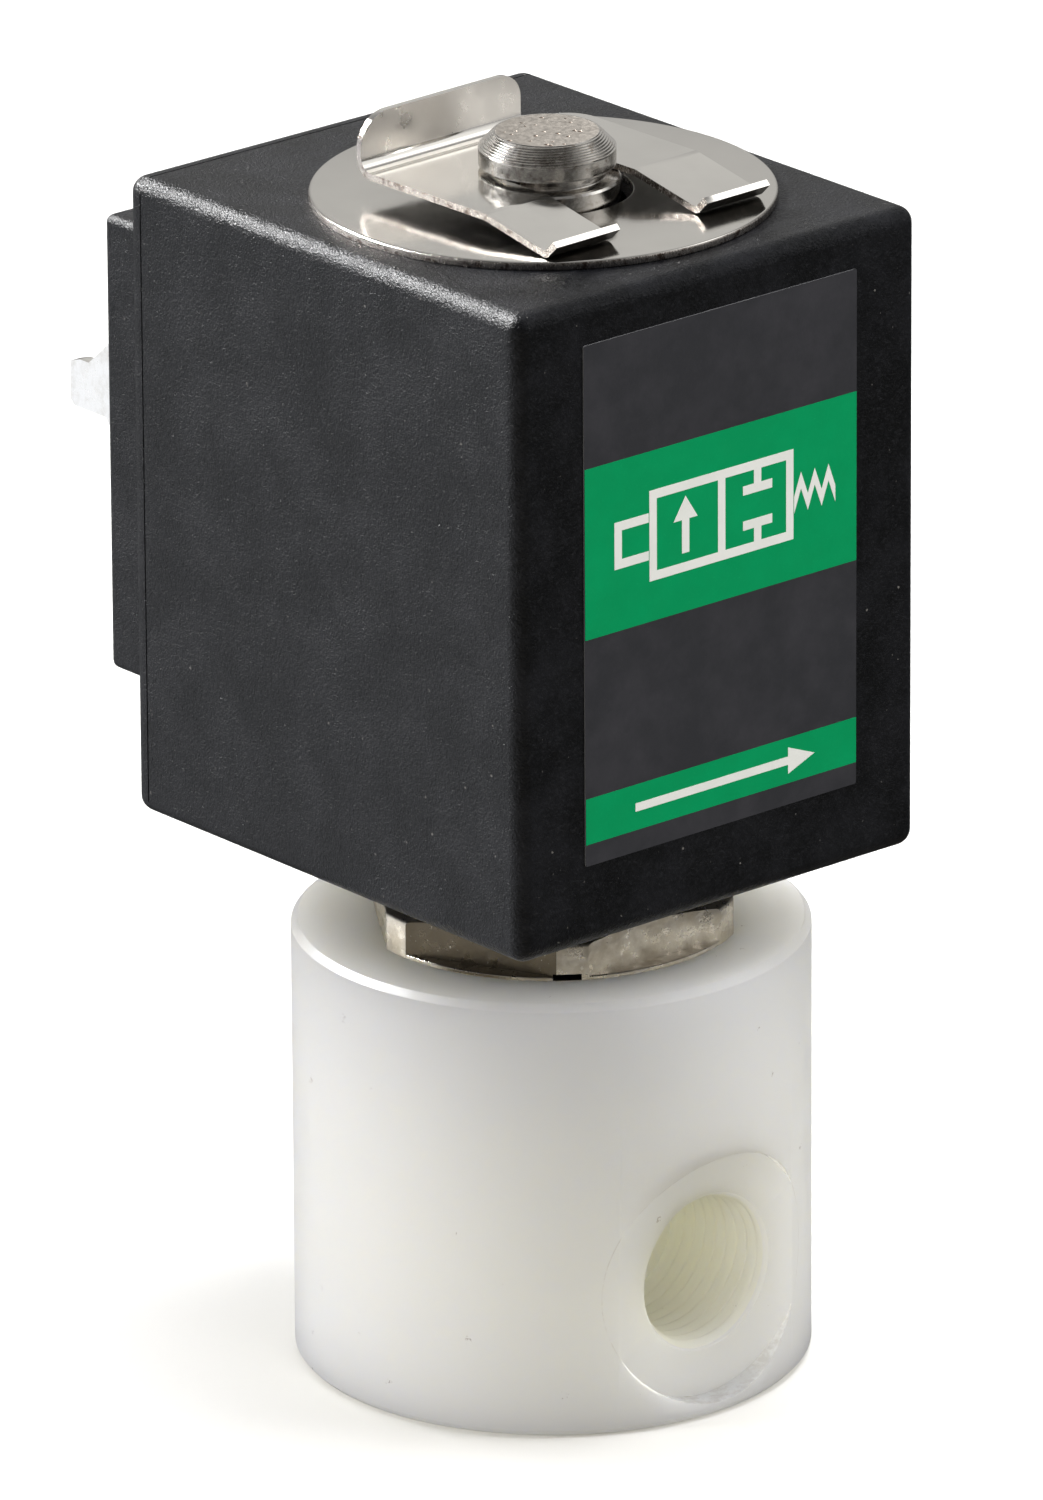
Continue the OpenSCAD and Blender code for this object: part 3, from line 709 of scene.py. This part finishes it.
def core_head():
    low, high = corners("fixed_core")
    tube_top = corners("core_tube")[1].z
    core_r = high.x
    neck, head, face_r = 3.25, 3.925, 3.0
    head_z, band = tube_top + 0.75, 0.95
    bore, seat = 2.2, low.z + 4
    groove_in, groove_out, groove_top = 2.68, 3.22, low.z + 1.02
    outline = fillet([
        (0, seat), (bore, seat), (bore, low.z), (groove_in, low.z), (groove_in, groove_top),
        (groove_out, groove_top), (groove_out, low.z), (core_r, low.z), (core_r, tube_top),
        (neck, tube_top), (neck, head_z), (head, head_z)
    ], [0, 0, 0.1, 0, 0, 0, 0, 0.1, 0.1, 0.1, 0.05, 0.08], closed=False, steps=3)
    # The band and the cone above it carry the rings that the tool left
    for k in range(1, 12):
        outline.append((head - (0.02 if k % 2 else 0), head_z + 0.05 + band * k / 12))
    rings = 8
    narrowing, rise = head - face_r, high.z - head_z - band
    for k in range(rings + 1):
        r = head - narrowing * k / rings
        z = head_z + band + rise * k / rings
        outline.append((r, z))
        if k < rings:
            outline.append((r + 0.005, z + rise / rings * 0.45))
            outline.append((r - narrowing * 0.85 / rings, z + rise / rings * 0.62))
    # The flat end is faced a little below the top of the cone
    outline += [(face_r - 0.06, high.z - 0.01), (1.5, high.z - 0.015), (0, high.z - 0.015)]
    core = lathe("turned_core", outline, 128)
    finish_piece(core, [steel, steel_face], "valve", ["fixed_core"], 40)
    for face in core.data.polygons:
        if face.normal.z > 0.99 and face.center.z > (high.z - 0.1) * MM:
            face.material_index = 1


# ---------------------------------------------------------------- washer and clip


def coil_washer():
    low, high = corners("coil_washer")
    centre = ((low.x + high.x) / 2, (low.y + high.y) / 2)
    r = (high.x - low.x) / 2
    hole = 5.1
    outline = fillet(
        [(hole, low.z), (r, low.z), (r, high.z), (hole, high.z)], [0.05, 0.06, 0.16, 0.10], steps=5
    )
    washer = lathe("coil_washer_disc", outline, 192, centre)
    finish_piece(
        washer, [washer_metal, cut_metal], "valve", ["coil_washer"], 50
    )
    for face in washer.data.polygons:
        if abs(face.normal.z) < 0.5:
            face.material_index = 1


def sheet_profile(centre_line, radii, thickness):
    """Both sides of a bent sheet, from the line along its middle."""
    line = [Vector(p) for p in fillet(centre_line, radii, closed=False, steps=8)]
    left, right = [], []
    for i, point in enumerate(line):
        before = line[max(0, i - 1)]
        after = line[min(len(line) - 1, i + 1)]
        along = (after - before).normalized()
        across = Vector((-along.y, along.x)) * thickness / 2
        left.append(tuple(point + across))
        right.append(tuple(point - across))
    return left + right[::-1]


def retaining_clip():
    high = corners("retaining_clip")[1]
    washer_top = corners("coil_washer")[1].z
    sheet, plate_z = 0.4, 71.25
    half, tab_end = 8.15, 4.05
    rear, kink, valley, lip = 7.1, -3.7, -8.9, 1.1
    slot = 3.33
    # Lines well past the sheet, for what cuts it
    below, above, before, behind = 60, 90, -20, 20
    # The line along the sheet's middle, seen from the side: tab, plate, prong, lip
    plate = plate_z + sheet / 2
    bottom = (valley + 0.08, washer_top + 0.02 + sheet / 2 + 0.01)
    lip_end = (bottom[0] - lip * 0.72, bottom[1] + lip * 0.72)
    front = [(kink, plate), bottom, lip_end]
    tab_line = [(rear - sheet / 2, high.z), (rear - sheet / 2, plate)] + front
    flat_line = [(rear, plate)] + front
    tab_profile = sheet_profile(tab_line, [0, 1.0, 2.0, 0.45, 0], sheet)
    flat_profile = sheet_profile(flat_line, [0, 2.0, 0.45, 0], sheet)
    side_on = Matrix(((0, 0, 1, 0), (1, 0, 0, 0), (0, 1, 0, 0), (0, 0, 0, 1)))
    clip = prism("spring_clip", tab_profile, -half, tab_end, side_on)
    plain_side = prism("plain_side", flat_profile, tab_end, half, side_on)
    # Outline of the tab, seen from the rear, and of the plate, seen from above
    tab_shape = fillet([
        (-half, below), (tab_end, below), (tab_end, high.z), (-half, high.z)
    ], [0, 0, 1.5, 2.1], steps=10)
    upright = Matrix(((1, 0, 0, 0), (0, 0, 1, 0), (0, 1, 0, 0), (0, 0, 0, 1)))
    carve(clip, [prism("tab_shape", tab_shape, before, behind, upright)], "INTERSECT")
    plan = fillet([
        (tab_end - 1, before), (half, before), (half, rear), (tab_end + 1.1, rear),
        (tab_end - 1, rear - 1.6)
    ], [0, 0, 2.2, 1.2, 0], steps=10)
    carve(plain_side, [prism("plan", plan, below, above)], "INTERSECT")
    carve(clip, [plain_side], "UNION")
    slot_shape = [(slot, before)]
    slot_shape += [(slot * cos(pi * k / 24), slot * sin(pi * k / 24)) for k in range(25)]
    slot_shape += [(-slot, before)]
    carve(clip, [prism("slot", slot_shape, below, above)])
    soften(clip, 0.05, 40, 2)
    # The clip sits a little turned in its groove
    clip.data.transform(Matrix.Rotation(radians(1.5), 4, "Z"))
    finish_piece(
        clip, [clip_metal, cut_metal, underside_shade, tab_painted_light], "clip",
        ["retaining_clip"], 40, True
    )
    # Painted shade below, a near-black copy of the sheet; torn where the sheet was cut; a paler,
    # rougher copy of the polish on the tab, as painted light
    for face in clip.data.polygons:
        x, y, z = face.center / MM
        in_slot = abs(face.normal.z) < 0.3 and x * x + y * y < slot * slot + 0.5
        if face.normal.z < -0.4 and z < plate_z + sheet:
            face.material_index = 2
        elif abs(face.normal.x) > 0.6 or in_slot:
            face.material_index = 1
        elif abs(face.normal.y) > 0.8 and z > plate + 0.9:
            face.material_index = 3


# ---------------------------------------------------------------- coil housing


def coil_housing():
    low, high = corners("coil_housing")
    pad_proud, edge_r = 3.3, 1.0
    rear = high.y - pad_proud
    pad_half, pad_low, pad_high = 14, 38.7, 66.3
    housing = rounded_block("moulded_housing", low, (high.x, rear, high.z), edge_r, 8)
    pad = rounded_block(
        "pad", (-pad_half, rear - 6, pad_low), (pad_half, high.y, pad_high), 0.5, 4
    )
    carve(housing, [pad], "UNION")
    # Groove where the two halves of the mould met
    line_y, line_wide, groove = rear - 1.35, 0.10, 0.05
    around = box(
        "around", (low.x - 1, line_y, low.z - 1), (high.x + 1, line_y + line_wide, high.z + 1)
    )
    core = box(
        "core", (low.x + groove, line_y - 1, low.z + groove),
        (high.x - groove, line_y + 1, high.z - groove)
    )
    carve(around, [core])
    # Inside: bore, flux bushes and reel
    bore = rod("bore", 4.5, low.z - 1, high.z + 1)
    bush_low, bush_high = corners("lower_flux_bush")[0].z, corners("upper_flux_bush")[1].z
    bushes = rod("bushes", 5.52, bush_low, bush_high)
    reel_low, reel_high = corners("bobbin")
    reel = rod("reel", reel_high.x + 0.02, reel_low.z, reel_high.z, None, 128)
    # Slots for the blades, which are a little larger than the blades, and the insert's hole
    insert = mount_place("plug_screw")
    thin, wide, spread, slots_end = 0.42, 3.17, 9, 30
    slots = [
        box("slot", (x - thin, 15, insert.z - wide), (x + thin, slots_end, insert.z + wide))
        for x in (-spread, spread)
    ]
    earth_z = insert.z - spread
    slots.append(box("earth", (-wide, 12.5, earth_z - thin), (wide, slots_end, earth_z + thin)))
    back = Matrix.Translation((0, insert.y, insert.z)) @ Matrix.Rotation(-pi / 2, 4, "X")
    slots.append(rod("insert", 2.42, -7.22, 2, back))
    carve(housing, [around, bore, bushes, reel] + slots)
    finish_piece(housing, black, "coil", ["coil_housing"], 35, True)


# ---------------------------------------------------------------- label


def label_layer(name, outline, low, high, finish):
    """A thin flat layer on the coil's front face, between two depths in front of it."""
    front = corners("rating_label")[1].y
    out = Matrix(((1, 0, 0, 0), (0, 0, -1, front), (0, 1, 0, 0), (0, 0, 0, 1)))
    layer = prism(name, outline, low, high, out)
    return finish_piece(layer, finish, "coil", ["rating_label"], 30)


def rectangle(x0, z0, x1, z1):
    return [(x0, z0), (x1, z0), (x1, z1), (x0, z1)]


def valve_symbol(mid_z, side, line):
    """Outlines of the plain circuit symbol of a two-way valve, its middle at x = 0."""
    half = side / 2
    parts = []
    # Two squares
    for x in (-side, 0):
        parts.append(rectangle(x, mid_z - half, x + side, mid_z - half + line))
        parts.append(rectangle(x, mid_z + half - line, x + side, mid_z + half))
    for x in (-side, -line / 2, side - line):
        parts.append(rectangle(x, mid_z - half + line, x + line, mid_z + half - line))
    # The arrow of the open position, in the left square
    arrow_x, neck, tail, tip = half - side, mid_z + 0.4, mid_z - 1.6, mid_z + 1.8
    parts.append(rectangle(arrow_x - line / 2, tail, arrow_x + line / 2, neck))
    parts.append([(arrow_x - 0.9, neck), (arrow_x + 0.9, neck), (arrow_x, tip)])
    # The two bars of the closed position, in the right square
    bar_x, bar_half, bar_off = half, 1.1, 1.05
    for sign in (-1, 1):
        z = mid_z + sign * bar_off
        parts.append(rectangle(bar_x - bar_half, z - line / 2, bar_x + bar_half, z + line / 2))
        stem = sorted((z + sign * line / 2, mid_z + sign * (half - line)))
        parts.append(rectangle(bar_x - line / 2, stem[0], bar_x + line / 2, stem[1]))
    # The coil's box on the left
    gap = 0.05
    left, right, box_half = -side - 2.6, -side - gap, 1.4
    parts.append(rectangle(left, mid_z - box_half, right, mid_z - box_half + line))
    parts.append(rectangle(left, mid_z + box_half - line, right, mid_z + box_half))
    parts.append(rectangle(left, mid_z - box_half + line, left + line, mid_z + box_half - line))
    # The spring on the right
    pitch, swing, thick = 0.52, 0.7, 1.0
    zigzag = [
        (side + gap + pitch * k, mid_z - thick / 2 + (swing if k % 2 else -swing))
        for k in range(7)
    ]
    parts.append(zigzag + [(x, z + thick) for x, z in reversed(zigzag)])
    return parts


def rating_label():
    low, high = corners("rating_label")
    film_high, print_low, print_high, ink_low, ink_high = 0.085, 0.08, 0.10, 0.095, 0.112
    film = label_layer(
        "label_film", fillet(rectangle(low.x, low.z, high.x, high.z), 0.14), 0, film_high,
        [film_dark, film_edge]
    )
    # The film's cut edge is paler than its face
    for face in film.data.polygons:
        if abs(face.normal.y) < 0.5:
            face.material_index = 1
    inset = 0.02
    left, right = low.x + inset, high.x - inset
    for name, band_low, band_high in (("label_band", 49.6, 59.75), ("label_foot", 37.35, 40.1)):
        band = rectangle(left, band_low, right, band_high)
        label_layer(name, band, print_low, print_high, film_green)
    parts = valve_symbol(54.7, 5.4, 0.55)
    # Flow arrow along the lower band
    foot_z, tail, neck, tip, thin, wide = 38.72, -6.5, 5.0, 7.0, 0.25, 0.8
    parts.append(rectangle(tail, foot_z - thin, neck, foot_z + thin))
    parts.append([(neck, foot_z - wide), (tip, foot_z), (neck, foot_z + wide)])
    for k, outline in enumerate(parts):
        label_layer(f"symbol_{k:02d}", outline, ink_low, ink_high, film_white)


# ---------------------------------------------------------------- spring and bellows


def return_spring():
    low, high = corners("return_spring")
    wire, mean_r, turns = 0.25, 1.85, 11
    around, sides = 40, 10
    z0, z1 = low.z + wire, high.z - wire
    verts, faces = [], []
    steps = turns * around
    # The end turns lie nearly flat, and the middle ones take the rest of the rise
    flat, end_rise = 0.06, 0.08
    for i in range(steps + 1):
        share = i / steps
        a = 2 * pi * turns * share
        lift = min(1, max(0, (share - flat) / (1 - 2 * flat)))
        z = z0 + (z1 - z0) * ((1 - end_rise) * lift + end_rise * share)
        for j in range(sides):
            b = 2 * pi * j / sides
            r = mean_r + wire * cos(b)
            verts.append((r * cos(a), r * sin(a), z + wire * sin(b)))
    for i in range(steps):
        for j in range(sides):
            k = (j + 1) % sides
            faces.append([i * sides + j, (i + 1) * sides + j, (i + 1) * sides + k, i * sides + k])
    faces.append(list(range(sides)))
    faces.append([steps * sides + j for j in range(sides)][::-1])
    spring = new_object("coil_spring", verts, faces)
    finish_piece(spring, spring_wire, "valve", ["return_spring"], 60)
    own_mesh(spring)


def bellows():
    low, high = corners("bellows")
    rim_low = high.z - BELLOWS_RIM
    small, large, half, folds = 2.6, 4.4, 0.15, 3
    count = 2 * folds
    step = (rim_low - low.z) / count
    reach = [small if k % 2 == 0 else large for k in range(count + 1)]
    outer = [(reach[k] + half, low.z + step * k) for k in range(count + 1)]
    inner = [(reach[k] - half, low.z + step * k) for k in range(count, -1, -1)]
    rim = [(high.x, rim_low), (high.x, high.z), (small - half, high.z)]
    folds_round = [0.02] + [0.12] * (count - 1) + [0.02]
    rounding = folds_round + [0.05] * 3 + folds_round
    wall = lathe("folded_bellows", fillet(outer + rim + inner, rounding, steps=4), 128)
    finish_piece(wall, white_part, "valve", ["bellows"], 50)
    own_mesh(wall)


valve_body()
bonnet_nut()
core_head()
coil_washer()
retaining_clip()
coil_housing()
rating_label()
return_spring()
bellows()


# ---------------------------------------------------------------- floor, light and camera


def floor():
    mesh = bpy.data.meshes.new("floor")
    size = 6.0
    # A hair below the body's base, so that the two faces stay apart
    low = -0.02 * MM
    mesh.from_pydata(
        [(-size, -size, low), (size, -size, low), (size, size, low), (-size, size, low)], [],
        [(0, 1, 2, 3)]
    )
    obj = bpy.data.objects.new("floor", mesh)
    bpy.context.scene.collection.objects.link(obj)
    look = Look("pale_floor", (0.93, 0.93, 0.93), 0.6)
    look.tint(look.grain(60, 2), (0.92, 0.92, 0.925))
    mesh.materials.append(look.done())
    obj.visible_glossy = False
    obj.visible_diffuse = False


BASE_LIGHT = 0.03
# The way each broad glow lies, how tight it is, its colour and its power
GLOWS = [
    ((0.61, 0.71, 0.35), 5, (1.0, 0.985, 0.955), 0.49),
    ((-0.61, 0.71, -0.35), 6, (0.975, 1.0, 1.06), 1.15),
    ((0.66, -0.64, 0.42), 9, (1.0, 0.99, 0.975), 1.00),
    ((0.69, -0.31, 0.66), 60, (1.0, 0.995, 0.985), 1.80),
    ((0.61, 0.45, 0.65), 14, (1.0, 0.995, 0.98), 0.20),
    ((-0.25, -0.40, -0.90), 3, (1.0, 0.93, 0.80), 0.45),
    ((-0.80, -0.10, -0.25), 8, (1.0, 0.98, 0.94), 0.40),
    ((0.05, 0.10, 1.0), 5, (1.0, 0.99, 0.98), 0.30),
]


def softbox(name, azimuth, elevation, distance, size, power, colour, lights="all"):
    """A soft rectangular light towards the object, which may light only matt or shiny looks."""
    middle = Vector((0, 0, 0.04))
    a, e = radians(azimuth), radians(elevation)
    away = Vector((sin(a) * cos(e), -cos(a) * cos(e), sin(e)))
    light = bpy.data.lights.new(name, "AREA")
    light.shape = "RECTANGLE"
    light.size, light.size_y = size
    light.energy = power
    light.color = colour
    obj = bpy.data.objects.new(name, light)
    obj.location = middle + away * distance
    obj.rotation_mode = "QUATERNION"
    obj.rotation_quaternion = (-away).to_track_quat("-Z", "Y")
    obj.visible_glossy = lights != "matt"
    obj.visible_diffuse = lights != "shiny"
    bpy.context.scene.collection.objects.link(obj)


def studio():
    """The world's light: a dim base, and broad glows from a few directions."""
    place = bpy.data.worlds.new("studio")
    place.use_nodes = True
    tree = place.node_tree
    way = tree.nodes.new("ShaderNodeTexCoord").outputs["Generated"]
    total = None
    for direction, tightness, colour, power in GLOWS:
        dot = tree.nodes.new("ShaderNodeVectorMath")
        dot.operation = "DOT_PRODUCT"
        tree.links.new(way, dot.inputs[0])
        dot.inputs[1].default_value = Vector(direction).normalized()
        near = tree.nodes.new("ShaderNodeMath")
        near.operation, near.use_clamp = "MAXIMUM", True
        tree.links.new(dot.outputs["Value"], near.inputs[0])
        near.inputs[1].default_value = 0
        shape = tree.nodes.new("ShaderNodeMath")
        shape.operation = "POWER"
        tree.links.new(near.outputs[0], shape.inputs[0])
        shape.inputs[1].default_value = tightness
        glow = tree.nodes.new("ShaderNodeVectorMath")
        glow.operation = "SCALE"
        glow.inputs[0].default_value = Vector(colour) * power
        tree.links.new(shape.outputs[0], glow.inputs["Scale"])
        if total is None:
            total = glow.outputs[0]
            continue
        both = tree.nodes.new("ShaderNodeVectorMath")
        tree.links.new(total, both.inputs[0])
        tree.links.new(glow.outputs[0], both.inputs[1])
        total = both.outputs[0]
    base = tree.nodes.new("ShaderNodeVectorMath")
    tree.links.new(total, base.inputs[0])
    base.inputs[1].default_value = (BASE_LIGHT, BASE_LIGHT, BASE_LIGHT)
    tree.links.new(base.outputs[0], tree.nodes["Background"].inputs["Color"])
    bpy.context.scene.world = place


def camera():
    azimuth, elevation, roll = radians(-40.575), radians(20.374), radians(-0.337)
    distance, sensor, lens = 941.267, 36.0, 393.7728
    away = Vector((
        sin(azimuth) * cos(elevation), -cos(azimuth) * cos(elevation), sin(elevation)
    ))
    right = Vector((cos(azimuth), sin(azimuth), 0))
    up = away.cross(right)
    aim = Vector((0, 0, 35)) + right * -1.653 + up * 1.368
    x_axis = right * cos(roll) + up * sin(roll)
    y_axis = up * cos(roll) - right * sin(roll)
    data = bpy.data.cameras.new("camera")
    data.lens = lens
    data.sensor_width = sensor
    data.clip_start, data.clip_end = 0.05, 20
    obj = bpy.data.objects.new("camera", data)
    turn = Matrix((x_axis, y_axis, away)).transposed().to_4x4()
    obj.matrix_world = Matrix.Translation((aim + away * distance) * MM) @ turn
    bpy.context.scene.collection.objects.link(obj)
    bpy.context.scene.camera = obj


floor()
studio()
softbox("left_softbox", -118, 4, 0.5, (0.10, 0.30), 2.1, (1.0, 0.97, 0.92), "matt")
softbox("left_card", -118, 4, 0.5, (0.10, 0.30), 0.6, (1.0, 0.99, 0.97), "shiny")
softbox("right_softbox", 48, 22, 0.6, (0.30, 0.45), 1.8, (1.0, 0.98, 0.93), "matt")
softbox("front_softbox", -30, 6, 0.8, (0.9, 0.5), 2.7, (1.0, 0.965, 0.885), "matt")
softbox("rear_softbox", -154, 38, 0.6, (0.30, 0.05), 19.0, (1, 1, 1), "shiny")
softbox("top_softbox", 120, 78, 0.8, (0.6, 0.5), 9.0, (1, 1, 1), "matt")
camera()
bpy.context.scene.view_settings.view_transform = "Standard"
